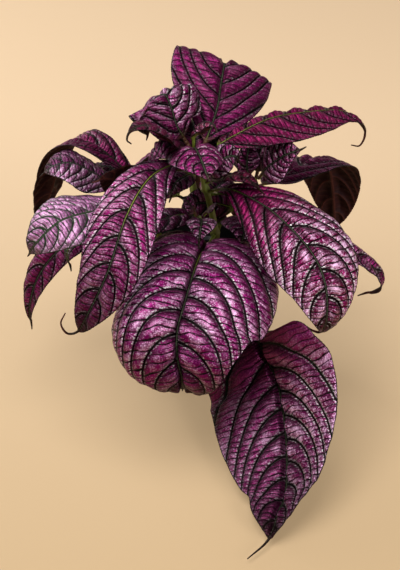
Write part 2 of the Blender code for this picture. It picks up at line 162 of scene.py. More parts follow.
# Veins and relief
VEIN_RUN = 4.6  # how far a wide leaf's side veins run towards the tip before the edge
WIDE_LEAF = 72.0
VEIN_LEAVE = 0.16  # how much of that run comes at once, near the midrib
LEFT_VEINS = 0.5
RIGHT_VEINS = 0.8
GAP_LIMITS = (1.5, 16.0)
LEAST_SLOPE = 1e-6
QUILT_RISE = 0.22
QUILT_EDGE = 1.1
VEIN_SINK = 0.35
VEIN_SINK_HALF = 1.1
VEIN_SINK_GAP = 6.0  # veins closer together than this are shallower
LADDER_STEP = 4.8
LADDER_TILT = 0.1
LADDER_SHIFT = 0.37  # from one panel between side veins to the next, in steps
LADDER_WANDER = 0.5
LADDER_WANDER_SPAN = 10.0
LADDER_RISE = 0.6
RIB_CLEAR = (0.6, 5.0)  # from the midrib, where the relief of the veins comes up
EDGE_CLEAR = (0.0, 4.0)
RIB_SINK = 0.5
RIB_SINK_HALF = 2.2
RIB_RISE = 0.55
RIB_HALF = 0.75
RIB_FALL = 0.6  # how much of its height the midrib loses by the tip
UNDER_RIB = 1.3
UNDER_RIB_HALF = 1.1
UNDER_RIB_FALL = 0.7
UNDER_VEIN = 0.4
UNDER_VEIN_HALF = 0.8
# Painted shade comes on towards a leaf's tip over DUSK_SPAN.
SILVER_SPAN = 0.3  # a share of the blade's length, as those of the next line
DUSK_SPAN = (0.5, 1.0)

Stem = namedtuple("Stem", "name radius nodes points")
STEMS = (
    Stem(
        "stem_main", 3.2, (113, 152, 172),
        ((13, 3, 62), (13, 3, 88), (10, 2, 122), (4, -2, 152), (-1, -5, 172), (-6, -8, 187)),
    ),
    Stem(
        "stem_right", 2.8, (118, 146),
        ((30, 18, 62), (30, 18, 88), (35, 14, 122), (40, 10, 154)),
    ),
    Stem(
        "stem_left", 2.8, (125, 147),
        ((-24, 8, 62), (-24, 8, 88), (-35, 4, 122), (-45, 0, 154)),
    ),
    Stem(
        "stem_back", 2.8, (130, 145),
        ((-2, 30, 62), (-2, 30, 88), (-5, 38, 130), (-6, 42, 165)),
    ),
    Stem(
        "stem_front", 2.3, (84,),
        (
            (24, -22, 62), (24, -22, 90), (26, -31, 101), (32, -48, 105), (37, -58, 100),
            (39, -62, 88), (39, -62, 75),
        ),
    ),
    Stem(
        "stem_young", 2.0, (124,),
        ((-6, -10, 62), (-6, -10, 88), (-5, -12, 115), (0, -19, 139)),
    ),
)

# A leaf's colouring, each from 0 to 1: warm runs from violet to wine red, silver is how much of
# it the panels carry, as their own silver and as painted highlight, and may be over 1, pale
# lightens them to lilac, dark is painted shade over the leaf, rib is how far the midrib stays green,
# plain is how far the leaf keeps clear of silver, from its stalk on, and dusk is painted shade
# towards the tip, where silver is also taken away. lean, from -1 to 1, paints more highlight and
# less shade on the right half than on the left one.
Look = namedtuple(
    "Look", "warm silver pale dark rib plain dusk lean",
    defaults=(0.35, 0.55, 0.0, 0.0, 0.3, 0.1, 0.2, 0.0),
)
PLAIN = Look()
# SHADED paints shade over leaves inside the plant.
SHADED = Look(dark=0.45, silver=0.35)

Leaf = namedtuple(
    "Leaf", "name stem height width stalk spine roll fold arch belly taper tip veins look coarse"
)


def leaf(
    name, stem, height, width, stalk, spine,
    roll=(0, 0), fold=(8, 8), arch=(25, 25), belly=0.42, taper=1.1, tip=5, veins=8,
    look=PLAIN, coarse=1.0,
):
    """A leaf that leaves its stem at a height and follows the spine, with the last stretch of it,
    the tip's length, drawn out to a point. fold and arch are the left half's and the right
    half's, in degrees, seen from above with the tip ahead: fold raises a half at the midrib and
    arch bends it down towards its edge. roll lowers the right side, at the stalk and at the tip.
    belly is where the blade is widest, as a share of its length, and taper is how soon it
    narrows from there. veins counts the side veins of one half. coarse widens the grid."""
    return Leaf(
        name, stem, height, width, stalk, spine, roll, fold, arch, belly, taper, tip, veins,
        look, coarse,
    )


LEAVES = (
    leaf(
        "leaf_crown_back", "stem_main", 181, 77, 14,
        (
            (3, 4, 184), (12, 29, 199), (15, 51, 208), (18, 71, 217), (18, 82, 209), (16, 92, 190),
            (12, 98, 162),
        ),
        roll=(8, 18), fold=(8, 10), arch=(12, 36), belly=0.5, taper=1.0,
        look=Look(0.4, 0.2, 0.0, 0.2, 0.0, 0.0),
    ),
    leaf(
        "leaf_crown_left", "stem_main", 185, 62, 8,
        (
            (-10, -4, 191), (-16, -4, 202), (-20, 3, 213), (-25, 9, 220), (-32, 15, 213), (-36, 21, 198),
            (-39, 25, 177),
        ),
        roll=(-15, -8), fold=(0, 0), arch=(24, 34), belly=0.45, taper=1.0,
        look=Look(0.35, 0.9, 0.0, 0.25, 0.0, 0.1, 0.2, 0.4),
    ),
    leaf(
        "leaf_crown_side", "stem_main", 183, 24, 6,
        (
            (-16, -14, 193), (-28, -32, 213), (-38, -44, 221), (-46, -54, 221), (-48, -57, 216),
            (-45, -57, 213),
        ),
        roll=(-10, -10), fold=(0, 0), arch=(30, 30), tip=10, veins=6,
        look=Look(0.8, 0.1, 0.0, 0.15, 0.0),
    ),
    leaf(
        "leaf_crown_low", "stem_main", 179, 42, 6,
        ((-14, -4, 186), (-22, -4, 192), (-29, -4, 189), (-34, -4, 181), (-37, -2, 168)),
        fold=(0, 0), arch=(40, 40), veins=6,
        look=Look(0.4, 0.5, 0.0, 0.05, 0.0),
    ),
    leaf(
        "leaf_crown_front", "stem_main", 184, 44, 3,
        ((-4, -18, 192), (-1, -28, 192), (2, -38, 189), (5, -46, 184), (9, -50, 179)),
        roll=(8, 8), fold=(12, 12), arch=(85, 40), belly=0.38, taper=1.15, veins=5,
        look=Look(0.3, 0.25, 0.0, 0.0, 0.0, 0.0, 0.0),
    ),
    leaf(
        "leaf_crown_curl", "stem_main", 184, 18, 6,
        ((-5, -9, 198), (-1, -8, 205), (5, -12, 209), (10, -17, 208), (12, -22, 205)),
        fold=(-20, -20), arch=(60, 60), veins=5,
        look=Look(1.0, 0.4, 0.0, 0.1, 0.0),
    ),
    leaf(
        "leaf_crown_rear", "stem_main", 175, 34, 5,
        ((-4, 5, 181), (-4, 18, 184), (-5, 32, 187), (-5, 46, 184), (-5, 54, 176)),
        veins=5, look=Look(0.5, 0.4, 0.0, 0.45, 0.0),
    ),
    leaf(
        "leaf_crown_inner", "stem_main", 167, 34, 6,
        ((6, 8, 176), (14, 22, 177), (22, 34, 177), (28, 44, 170)),
        veins=5, look=Look(0.6, 0.4, 0.0, 0.45, 0.0),
    ),
    leaf(
        "leaf_long_right", "stem_main", 172, 50, 16,
        (
            (9, -2, 183), (26, 8, 190), (52, 25, 195), (84, 39, 194), (104, 46, 191), (118, 48, 183),
            (123, 48, 171), (119, 46, 162), (112, 45, 163),
        ),
        roll=(8, 0), fold=(-17, -12), arch=(38, 20), tip=18,
        look=Look(0.7, 0.08, 0.0, 0.0, 0.95),
    ),
    leaf(
        "leaf_main_inner", "stem_main", 164, 24, 6,
        ((9, -12, 174), (17, -12, 181), (25, -10, 181), (29, -8, 173)),
        roll=(40, 50), fold=(15, 15), veins=5,
        look=Look(0.4, 0.8, 0.0, 0.25, 0.0),
    ),
    leaf(
        "leaf_main_low", "stem_main", 167, 24, 5,
        ((-10, -13, 168), (-18, -19, 164), (-22, -22, 151)),
        fold=(5, 5), veins=5, look=SHADED,
    ),
    leaf(
        "leaf_left_long", "stem_main", 173, 50, 14,
        (
            (-10, -15, 179), (-19, -22, 181), (-35, -42, 180), (-49, -68, 166), (-61, -94, 138),
            (-76, -103, 108), (-82, -103, 97), (-89, -102, 95), (-93, -100, 101), (-90, -98, 108),
        ),
        roll=(-5, -15), fold=(12, 12), arch=(40, 25), tip=23, belly=0.52, taper=0.9,
        look=Look(0.35, 0.7, 0.0, 0.0, 0.45, 0.1, 0.5),
    ),
    leaf(
        "leaf_right_large", "stem_main", 150, 68, 10,
        (
            (16, -12, 157), (28, -20, 158), (51, -42, 154), (74, -70, 141), (84, -84, 124),
            (86, -93, 103), (83, -94, 90), (77, -92, 89), (69, -89, 94),
        ),
        roll=(10, 14), fold=(5, 8), arch=(32, 60), tip=15, belly=0.55, taper=1.0,
        look=Look(0.65, 1.7, 0.0, 0.0, 0.1, 0.36, 0.0),
    ),
    leaf(
        "leaf_right_curl", "stem_main", 157, 25, 5,
        ((16, -9, 165), (27, -17, 170), (37, -24, 168), (45, -28, 161)),
        roll=(-10, -10), fold=(5, 5), veins=5,
        look=Look(1.0, 0.1, 0.0, 0.4, 0.0),
    ),
    leaf(
        "leaf_inner_left", "stem_main", 119, 30, 10,
        ((-9, -1, 130), (-28, -16, 134), (-44, -26, 128), (-55, -32, 113)),
        veins=6, look=SHADED,
    ),
    leaf(
        "leaf_inner_mid", "stem_main", 140, 32, 6,
        ((8, 10, 142), (15, 18, 145), (21, 24, 145), (26, 27, 141)),
        veins=5, look=SHADED,
    ),
    leaf(
        "leaf_front", "stem_main", 113, 134, 16,
        (
            (5, -24, 117), (1, -40, 121), (-4, -66, 122), (-10, -94, 115), (-15, -114, 105),
            (-15, -124, 90), (-12, -124, 72), (-12, -117, 57),
        ),
        fold=(28, 44), arch=(85, 135), belly=0.42, taper=0.75, tip=3, veins=9,
        look=Look(0.15, 1.0, 0.0, 0.0, 0.3, 0.15, 0.35),
    ),
    leaf(
        "leaf_low_back", "stem_main", 108, 40, 12,
        ((16, 22, 112), (22, 40, 104), (26, 56, 88), (27, 62, 68)),
        veins=6, coarse=1.5,
    ),
    leaf(
        "leaf_right_young", "stem_right", 151, 38, 5,
        ((48, 7, 164), (60, 4, 175), (69, 2, 180), (75, 2, 183)),
        roll=(35, 35), fold=(10, 10), arch=(15, 15), veins=7,
        look=Look(0.55, 0.65, 0.0, 0.05, 0.0),
    ),
    leaf(
        "leaf_right_dark", "stem_right", 151, 20, 5,
        ((34, 5, 162), (34, 8, 174), (37, 14, 181), (41, 20, 182)),
        roll=(40, 40), fold=(25, 25), veins=5,
        look=Look(0.4, 0.5, 0.0, 0.6, 0.0),
    ),
    leaf(
        "leaf_right_inner", "stem_right", 148, 28, 6,
        ((42, 17, 158), (44, 27, 166), (46, 35, 168), (48, 43, 162)),
        veins=5, look=Look(0.4, 0.5, 0.0, 0.3, 0.0),
    ),
    leaf(
        "leaf_right_back", "stem_right", 146, 54, 12,
        (
            (48, 24, 143), (58, 36, 140), (72, 52, 141), (88, 68, 140), (100, 80, 129), (106, 88, 104),
            (110, 90, 64),
        ),
        roll=(0, -25), fold=(8, 8), belly=0.5, taper=0.75,
        look=Look(0.5, 0.4, 0.0, 0.2, 0.0),
    ),
    leaf(
        "leaf_right_low", "stem_right", 130, 30, 14,
        (
            (55, 2, 131), (72, -8, 131), (100, -28, 122), (115, -34, 113), (128, -38, 102),
            (129, -40, 91), (114, -36, 82),
        ),
        roll=(-15, -15), tip=8, veins=7,
        look=Look(0.4, 0.6, 0.0, 0.0, 0.0),
    ),
    leaf(
        "leaf_inner_right", "stem_right", 118, 38, 10,
        ((34, -8, 130), (32, -26, 132), (28, -42, 125)),
        veins=6, look=SHADED,
    ),
    leaf(
        "leaf_inner_back", "stem_right", 120, 26, 8,
        ((24, 18, 125), (10, 20, 128), (-6, 20, 127), (-18, 18, 120)),
        roll=(-50, -50), veins=5, look=SHADED,
    ),
    leaf(
        "leaf_left_pale", "stem_left", 147, 53, 14,
        ((-59, -24, 150), (-71, -36, 153), (-94, -56, 156), (-111, -64, 143), (-118, -64, 132)),
        roll=(-6, -6), fold=(0, 6), arch=(40, 15), belly=0.48, taper=0.95, tip=3,
        look=Look(0.3, 0.9, 0.4, 0.0, 0.1, 0.3, 0.0),
    ),
    leaf(
        "leaf_left_mid", "stem_left", 149, 48, 14,
        ((-59, 4, 151), (-76, 3, 162), (-89, 0, 171), (-99, -2, 172), (-107, -4, 169), (-114, -6, 163)),
        fold=(-5, 5), arch=(28, 20), belly=0.52, taper=0.75, veins=7,
        look=Look(0.15, 0.8, 0.1, 0.4, 0.0, 0.1, 0.2, -0.6),
    ),
    leaf(
        "leaf_left_back", "stem_left", 143, 42, 14,
        (
            (-53, 18, 154), (-74, 30, 169), (-88, 36, 171), (-99, 40, 163), (-106, 42, 149),
            (-114, 44, 124), (-125, 41, 97),
        ),
        roll=(0, 18), fold=(10, 15), arch=(10, 10), belly=0.55, taper=0.7,
        look=Look(0.6, 0.2, 0.0, 0.3, 0.0),
    ),
    leaf(
        "leaf_left_low", "stem_left", 125, 26, 14,
        (
            (-58, -4, 125), (-78, -14, 123), (-99, -22, 115), (-117, -26, 93), (-125, -28, 68),
            (-125, -27, 47),
        ),
        roll=(-10, -45), fold=(15, 15), tip=8, veins=7,
        look=Look(0.25, 0.25, 0.0, 0.0, 0.0),
    ),
    leaf(
        "leaf_left_tip", "stem_left", 129, 14, 16,
        ((-68, -24, 135), (-86, -38, 131), (-93, -44, 123), (-91, -46, 109)),
        veins=5, look=Look(0.2, 0.2, 0.6, 0.4, 1.0),
    ),
    leaf(
        "leaf_left_under", "stem_left", 152, 30, 4,
        ((-52, -12, 163), (-58, -24, 171), (-66, -33, 176), (-74, -39, 176)),
        roll=(60, 60), veins=5, look=SHADED,
    ),
    leaf(
        "leaf_left_inner", "stem_left", 137, 32, 14,
        ((-50, 16, 146), (-64, 31, 151), (-78, 40, 149), (-88, 46, 138)),
        veins=6, look=Look(0.4, 0.5, 0.0, 0.2, 0.0),
    ),
    leaf(
        "leaf_young_front", "stem_young", 137, 22, 3,
        ((1, -34, 143), (0, -43, 139), (-1, -47, 128)),
        taper=1.4, veins=5, look=Look(0.3, 0.8, 0.0, 0.2, 0.0),
    ),
    leaf(
        "leaf_young_left", "stem_young", 136, 20, 3,
        ((-6, -17, 146), (-11, -15, 151), (-17, -14, 153)),
        veins=5, look=Look(0.3, 0.8, 0.0, 0.3, 0.0),
    ),
    leaf(
        "leaf_young_right", "stem_young", 138, 12, 3,
        ((8, -18, 145), (12, -18, 148), (16, -20, 146)),
        veins=5, look=Look(0.3, 0.8, 0.0, 0.3, 0.0),
    ),
    leaf(
        "leaf_back_high_left", "stem_back", 161, 42, 12,
        ((-22, 50, 160), (-39, 60, 145), (-48, 70, 124), (-52, 76, 100)),
        veins=7, coarse=1.4,
    ),
    leaf(
        "leaf_back_high_right", "stem_back", 160, 40, 12,
        ((14, 46, 158), (30, 54, 142), (42, 58, 122), (48, 59, 98)),
        veins=7, coarse=1.4,
    ),
    leaf(
        "leaf_back_centre", "stem_back", 145, 48, 12,
        ((-4, 62, 147), (-2, 88, 132), (0, 104, 106), (0, 110, 78)),
        veins=7, coarse=1.4, look=Look(0.5, 0.5),
    ),
    leaf(
        "leaf_back_mid_left", "stem_back", 118, 44, 12,
        ((-20, 46, 122), (-42, 56, 112), (-56, 64, 92), (-62, 68, 70)),
        veins=7, coarse=1.4, look=Look(0.2, 0.5),
    ),
    leaf(
        "leaf_back_mid_right", "stem_back", 120, 42, 12,
        ((10, 50, 122), (26, 66, 108), (34, 78, 86), (36, 82, 62)),
        veins=7, coarse=1.4,
    ),
    leaf(
        "leaf_trailing", "stem_front", 78, 108, 4,
        (
            (40, -68, 68), (47, -79, 57), (55, -94, 44), (59, -128, 25), (57, -168, 13), (51, -186, 10),
            (44, -206, 6), (30, -222, 4),
        ),
        roll=(18, 0), fold=(48, 5), arch=(25, 30), belly=0.25, taper=0.8, tip=22, veins=9,
        look=Look(0.4, 1.4, 0.03, 0.25, 0.0, 0.2, 0.6, -0.5),
    ),
)


def unit(vectors):
    return vectors / np.linalg.norm(vectors, axis=-1, keepdims=True)


def smooth(value, low, high):
    """0 up to low, 1 from high on, and a smooth rise between them."""
    share = np.clip((value - low) / (high - low), 0, 1)
    return share * share * (3 - 2 * share)


def bell(value, half):
    return np.exp(-((value / half) ** 2))


def ripple(x, y, span, seed):
    """Smooth noise from about -1 to 1 over two arrays of millimetres, its bumps a span wide."""
    pairs = zip((x / span).ravel().tolist(), (y / span).ravel().tolist())
    return np.reshape([noise.noise(Vector((a, b, seed))) for a, b in pairs], x.shape)


def steps(start, end, step):
    """Even distances from start up to, and without, end."""
    return np.linspace(start, end, max(2, round((end - start) / step)), endpoint=False)


class Path:
    """A smooth line through a few points, read by distances along it."""

    STEPS = 40

    def __init__(self, points):
        knots = np.array(points, float)
        knots = np.vstack((2 * knots[0] - knots[1], knots, 2 * knots[-1] - knots[-2]))
        t = np.arange(1, self.STEPS + 1)[:, None] / self.STEPS
        spans = [knots[1:2]]
        for before, start, end, after in zip(knots, knots[1:], knots[2:], knots[3:]):
            bend = 2 * before - 5 * start + 4 * end - after
            twist = 3 * (start - end) + after - before
            spans.append(start + 0.5 * t * ((end - before) + t * (bend + t * twist)))
        self.points = np.vstack(spans)
        lengths = np.linalg.norm(np.diff(self.points, axis=0), axis=1)
        self.marks = np.concatenate(([0.0], np.cumsum(lengths)))
        self.length = self.marks[-1]

    def at(self, distance):
        return np.stack([np.interp(distance, self.marks, axis) for axis in self.points.T], -1)

    def height_mark(self, height):
        """The distance along at which the line last comes to a height."""
        off = np.rint(np.abs(self.points[:, 2] - height))
        return self.marks[np.lexsort((-self.marks, off))[0]]

    def heading(self, distance, reach=2.0):
        return unit(self.at(distance + reach) - self.at(distance - reach))


def stem_radius(stem, path, distance):
    """The stem's radius there: it thins upwards and swells at its nodes."""
    radius = stem.radius + (STEM_TIP_RADIUS - stem.radius) * distance / path.length
    height = path.at(distance)[..., 2]
    swell = sum(bell(height - node, NODE_SPAN) for node in stem.nodes)
    return radius * (1 + NODE_SWELL * np.minimum(swell, 1))


def half_width(leaf, along):
    """Half the blade's width at a share of its length, between the stalk and the drawn-out tip."""
    power = leaf.taper * leaf.belly / (1 - leaf.belly)
    top = leaf.belly**power * (1 - leaf.belly) ** leaf.taper
    swell = along**power * (1 - along) ** leaf.taper / top
    stalk = STALK_HALF_WIDTH + (TIP_HALF_WIDTH - STALK_HALF_WIDTH) * along
    return stalk + (leaf.width / 2 - stalk) * swell


def spacing(points, count):
    """The distance on a grid of points, square to the lines of equal count, to the next one."""
    along, across = np.gradient(points, axis=(0, 1))
    rise_along, rise_across = np.gradient(count)
    long, wide = (along**2).sum(-1), (across**2).sum(-1)
    skew = (along * across).sum(-1)
    slope = wide * rise_along**2 - 2 * skew * rise_along * rise_across + long * rise_across**2
    area = np.maximum(long * wide - skew**2, LEAST_SLOPE)
    return np.clip(1 / np.sqrt(np.maximum(slope / area, LEAST_SLOPE)), *GAP_LIMITS)


class Blade:
    """A leaf on a grid of points: rows run from the stalk to the tip, columns left to right."""

    def __init__(self, leaf, seed):
        self.leaf, self.seed = leaf, seed
        stem = next(s for s in STEMS if s.name == leaf.stem)
        stem_path = Path(stem.points)
        mark = stem_path.height_mark(leaf.height)
        self.path = Path((stem_path.at(mark), *leaf.spine))
        turn = np.linalg.norm(np.cross(stem_path.heading(mark), self.path.heading(1.0)))
        grip = stem_radius(stem, stem_path, mark)
        root = (grip + ROOT_GAP) / max(turn, LEAST_TURN)
        self.foot, self.end = root + leaf.stalk, self.path.length - leaf.tip
        self.lay_grid(root - ROOT_SINK * grip)
        self.lay_flat()
        self.lay_veins()
        self.raise_faces()

    def lay_grid(self, start):
        leaf = self.leaf
        stops = (start, self.foot, self.end, self.path.length)
        runs = [steps(a, b, ROW_STEP * leaf.coarse) for a, b in zip(stops, stops[1:])]
        self.distance = np.concatenate((*runs, stops[-1:]))
        self.along = np.clip((self.distance - self.foot) / (self.end - self.foot), 0, 1)
        past = np.clip((self.distance - self.end) / leaf.tip, 0, 1)
        self.half = half_width(leaf, self.along) * (1 - TIP_THINNING * past)
        count = max(LEAST_COLUMNS, round(leaf.width / 2 / COLUMN_STEP / leaf.coarse))
        even = np.linspace(-1, 1, 2 * count + 1)
        self.across = np.sign(even) * np.abs(even) ** COLUMN_POWER
        self.side = self.half[:, None] * self.across
        self.body = smooth(self.half, *BODY_SPAN)[:, None]
        self.stalk = 1 - smooth(self.distance - self.foot, *STALK_BLEND)

    def lay_flat(self):
        """The blade bent and folded, with no relief on it: points, and which way is up there."""
        leaf = self.leaf
        run = np.array(leaf.spine[-1], float) - self.path.points[0]
        level = np.cross(unit(run * (1, 1, 0)), (0, 0, 1))
        ahead = self.path.heading(self.distance)
        right = unit(level - ahead * (ahead @ level)[:, None])
        up = np.cross(right, ahead)
        share = self.distance / self.path.length
        roll = np.radians(leaf.roll[0] + (leaf.roll[1] - leaf.roll[0]) * share)[:, None]
        self.right = right * np.cos(roll) - up * np.sin(roll)
        self.up = up * np.cos(roll) + right * np.sin(roll)
        self.origin = self.path.at(self.distance)
        share = np.abs(self.across)
        tooth = np.abs(np.sin(math.pi * self.distance / TOOTH_STEP))[:, None]
        reach = np.abs(self.side) + TOOTH_DEPTH * tooth * share**8 * self.body
        hand = (self.across > 0).astype(int)
        fold = np.radians(leaf.fold)[hand]
        bend = np.radians(leaf.arch)[hand] / (leaf.width / 2)
        middle = fold - bend * reach / 2
        chord = reach * np.sinc(bend * reach / 2 / math.pi)
        sign = np.sign(self.across)
        outward, upward = sign * chord * np.cos(middle), chord * np.sin(middle)
        self.flat = self.spread(self.origin, outward, upward)
        slope = np.where(self.across == 0, 0, fold - bend * reach)
        self.normal = self.spread(np.zeros(3), -sign * np.sin(slope), np.cos(slope))

    def spread(self, origin, outward, upward):
        right, up = self.right[:, None], self.up[:, None]
        origin = np.atleast_2d(origin)[:, None]
        return origin + right * outward[..., None] + up * upward[..., None]

    def lay_veins(self):
        """The side veins lie where veins is whole, and the small ones across where ladder is."""
        leaf = self.leaf
        share = np.abs(self.across)
        run = VEIN_RUN * math.sqrt(leaf.width / 2 / (self.end - self.foot))
        run *= min(1, leaf.width / WIDE_LEAF)
        power = 1 + run * (VEIN_LEAVE * share + (1 - VEIN_LEAVE) * share**3)
        count = leaf.veins * self.along[:, None] ** power
        self.gap = spacing(self.flat, count)
        self.veins = count + np.where(self.across > 0, RIGHT_VEINS, LEFT_VEINS)
        run = self.distance[:, None] + 0 * self.side
        wander = ripple(self.side, run, LADDER_WANDER_SPAN, self.seed)
        tilted = run - LADDER_TILT * np.abs(self.side)
        panel = np.floor(self.veins)
        shift = LADDER_SHIFT * panel + 0.5 * np.sin(panel * panel) + (self.across > 0) / 2
        self.ladder = tilted / LADDER_STEP + LADDER_WANDER * wander + shift

    def raise_faces(self):
        share, side = np.abs(self.across), np.abs(self.side)
        run = self.distance[:, None] + 0 * self.side
        edge = self.half[:, None] - side
        crest = np.abs(np.sin(math.pi * self.veins))
        pillow = np.abs(np.sin(math.pi * self.ladder))
        away = np.abs(self.veins - np.rint(self.veins)) * self.gap
        off_rib, off_edge = smooth(side, *RIB_CLEAR), smooth(edge, *EDGE_CLEAR)
        relief = QUILT_RISE * self.gap * crest * off_rib * (QUILT_EDGE - share)
        relief += LADDER_RISE * pillow * np.sqrt(crest) * off_rib * off_edge
        sink = VEIN_SINK * np.minimum(1, self.gap / VEIN_SINK_GAP)
        relief -= sink * bell(away, VEIN_SINK_HALF) * off_rib
        relief -= RIB_SINK * bell(side, RIB_SINK_HALF)
        rib = RIB_RISE * bell(side, RIB_HALF) * (1 - RIB_FALL * self.along[:, None])
        wave = WAVE_RISE * share * ripple(self.side, run, WAVE_SPAN, self.seed + WAVE_SEED)
        ruffle = ripple(self.side, run, RUFFLE_SPAN, self.seed + RUFFLE_SEED)
        wave += RUFFLE_RISE * share**4 * ruffle
        upper = (relief + rib + wave) * self.body
        thick = EDGE_THICKNESS + (BLADE_THICKNESS - EDGE_THICKNESS) * (1 - share**3)
        below = UNDER_RIB * bell(side, UNDER_RIB_HALF) * (1 - UNDER_RIB_FALL * self.along[:, None])
        below = below + UNDER_VEIN * bell(away, UNDER_VEIN_HALF) * off_edge
        lower = (relief + wave - below) * self.body - thick
        self.upper = self.rounded(self.flat + self.normal * upper[..., None], 1)
        self.lower = self.rounded(self.flat + self.normal * lower[..., None], -1)
        self.edge = edge

    def rounded(self, points, face):
        """The points, drawn to a round section along the stalk and the tip."""
        angle = math.pi / 2 * self.across
        depth = np.minimum(self.half, STALK_DEPTH)[:, None]
        rise = face * (depth * np.cos(angle) + EDGE_HALF_THICKNESS) - depth
        tube = self.spread(self.origin, self.half[:, None] * np.sin(angle), rise)
        tip = smooth(self.distance - self.end, *TIP_BLEND)
        weight = np.maximum(self.stalk, tip)[:, None, None]
        return points + (tube - points) * weight


def add(name, data):
    """An object with the data, in the scene."""
    made = bpy.data.objects.new(name, data)
    bpy.context.scene.collection.objects.link(made)
    return made


def mesh_of(name, bm):
    """The bmesh, in millimetres, as a mesh in metres. It is freed."""
    bmesh.ops.scale(bm, vec=(MM, MM, MM), verts=bm.verts)
    mesh = bpy.data.meshes.new(name)
    bm.to_mesh(mesh)
    bm.free()
    return mesh


def placed(name, bm, finishes, slot, *nodes, attributes=None):
    """The bmesh, in millimetres, as a piece that stands for some nodes of the frame."""
    bmesh.ops.recalc_face_normals(bm, faces=bm.faces)
    if bm.calc_volume(signed=True) < 0:
        bmesh.ops.reverse_faces(bm, faces=bm.faces)
    mesh = mesh_of(name, bm)
    mesh.shade_smooth()
    for finish in finishes:
        mesh.materials.append(finish)
    for label, values in (attributes or {}).items():
        layer = mesh.attributes.new(label, "FLOAT_VECTOR", "POINT")
        layer.data.foreach_set("vector", np.ascontiguousarray(values, np.float32).ravel())
    made = add(name, mesh)
    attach(made, "root")
    if nodes:
        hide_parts(*nodes)
    return made


def grid(rows, columns, double=False):
    """A bmesh grid, or a closed double one, with each point's row and column. The second half
    of a double one's points are the lower face's."""
    bm = bmesh.new()
    bmesh.ops.create_grid(bm, x_segments=rows - 1, y_segments=columns - 1, size=1)
    if double:
        bmesh.ops.extrude_face_region(bm, geom=bm.faces[:], use_keep_orig=True)
    flat = np.array([vert.co[:2] for vert in bm.verts])
    places = np.rint((flat + 1) / 2 * (rows - 1, columns - 1)).astype(int)
    return bm, places[:, 0], places[:, 1]


def move(bm, points):
    for vert, point in zip(bm.verts, points.tolist()):
        vert.co = point


def build_leaf(leaf, seed, finishes):
    blade = Blade(leaf, seed)
    rows, columns = blade.side.shape
    bm, row, column = grid(rows, columns, double=True)
    lower = np.arange(len(row)) >= rows * columns
    upper_points, lower_points = blade.upper[row, column], blade.lower[row, column]
    move(bm, np.where(lower[:, None], lower_points, upper_points))
    look = leaf.look
    ones = np.ones_like(blade.side)
    along, stalk = blade.along[:, None] * ones, blade.stalk[:, None] * ones
    # Painted light: dusk is painted shade towards the tip and takes silver away, lean paints more
    # highlight on one half and more shade on the other, and dark is painted shade over the whole leaf.
    dusk = look.dusk * smooth(along, *DUSK_SPAN)
    silver = smooth(along, look.plain - SILVER_SPAN / 2, look.plain + SILVER_SPAN)
    lean = look.lean * np.sign(blade.across)
    silver = look.silver * silver * (1 - dusk) * (1 + lean)
    dark = look.dark * (1 - lean)
    layers = {
        "vein": (blade.veins, blade.ladder, blade.gap),
        "place": (blade.side, blade.edge, along),
        "tone": (look.warm * ones, silver, look.pale * ones),
        "part": (look.rib * ones, dark + (1 - dark) * dusk, stalk),
    }
    attributes = {
        label: np.stack(values, -1)[row, column] for label, values in layers.items()
    }
    made = placed(leaf.name + "_blade", bm, finishes, "leaf_purple", leaf.name, attributes=attributes)
    corners = np.empty(len(made.data.loops), np.int32)
    made.data.loops.foreach_get("vertex_index", corners)
    under = lower[corners].reshape(-1, 4).all(axis=1)
    made.data.polygons.foreach_set("material_index", under.astype(np.int32))


def build_stem(stem, finish):
    path = Path(stem.points)
    distance = np.append(steps(0, path.length, STEM_STEP), path.length)
    angle = np.linspace(0, math.tau, STEM_SIDES + 1)
    ahead = path.heading(distance)
    side = unit(np.cross(ahead, (1, 0, 0)))
    front = np.cross(side, ahead)
    radius = stem_radius(stem, path, distance)
    height = path.at(distance)[:, 2]
    ring = sum(bell(height - node, NODE_RING_SPAN) for node in stem.nodes)
    end = np.sqrt(np.clip((path.length - distance) / STEM_TIP_RADIUS, STEM_END_SHARE, 1))
    radius = (radius * (1 + NODE_RING * ring) * end)[:, None]
    radius = radius * (1 + STEM_SQUARE * np.cos(4 * angle))
    out = side[:, None] * np.cos(angle)[:, None] + front[:, None] * np.sin(angle)[:, None]
    points = path.at(distance)[:, None] + out * radius[..., None]
    bm, row, column = grid(len(distance), STEM_SIDES + 1)
    move(bm, points[row, column])
    bmesh.ops.remove_doubles(bm, verts=bm.verts, dist=STEM_SEAM)
    bmesh.ops.holes_fill(bm, edges=[edge for edge in bm.edges if edge.is_boundary], sides=0)
    placed(stem.name + "_skin", bm, [finish], "stem_green", stem.name)


def turned(profile, sides):
    """A closed shape turned about Z from (radius, height) points."""
    bm = bmesh.new()
    corners = [bm.verts.new((radius, 0, height)) for radius, height in profile]
    edges = [bm.edges.new(pair) for pair in zip(corners, corners[1:])]
    bmesh.ops.spin(
        bm, geom=corners + edges, axis=(0, 0, 1), cent=(0, 0, 0),
        angle=math.tau, steps=sides, use_merge=True,
    )
    bmesh.ops.remove_doubles(bm, verts=bm.verts, dist=TURN_SEAM)
    return bm


def pot_wall_radius(height, inset=0.0):
    """The outside radius of the tapered wall, below the rim."""
    share = height / (POT_HEIGHT - POT_RIM_DEPTH)
    return POT_BASE_RADIUS + share * (POT_RIM_RADIUS - POT_RIM_STEP - POT_BASE_RADIUS) - inset


def ring_profile(height):
    """A shallow moulded groove round the wall."""
    points = []
    for share in (-1, -0.5, 0, 0.5, 1):
        level = height + POT_RING_HALF * share
        depth = POT_RING_DEPTH * math.cos(math.pi / 2 * share)
        points.append((pot_wall_radius(level, depth), level))
    return points


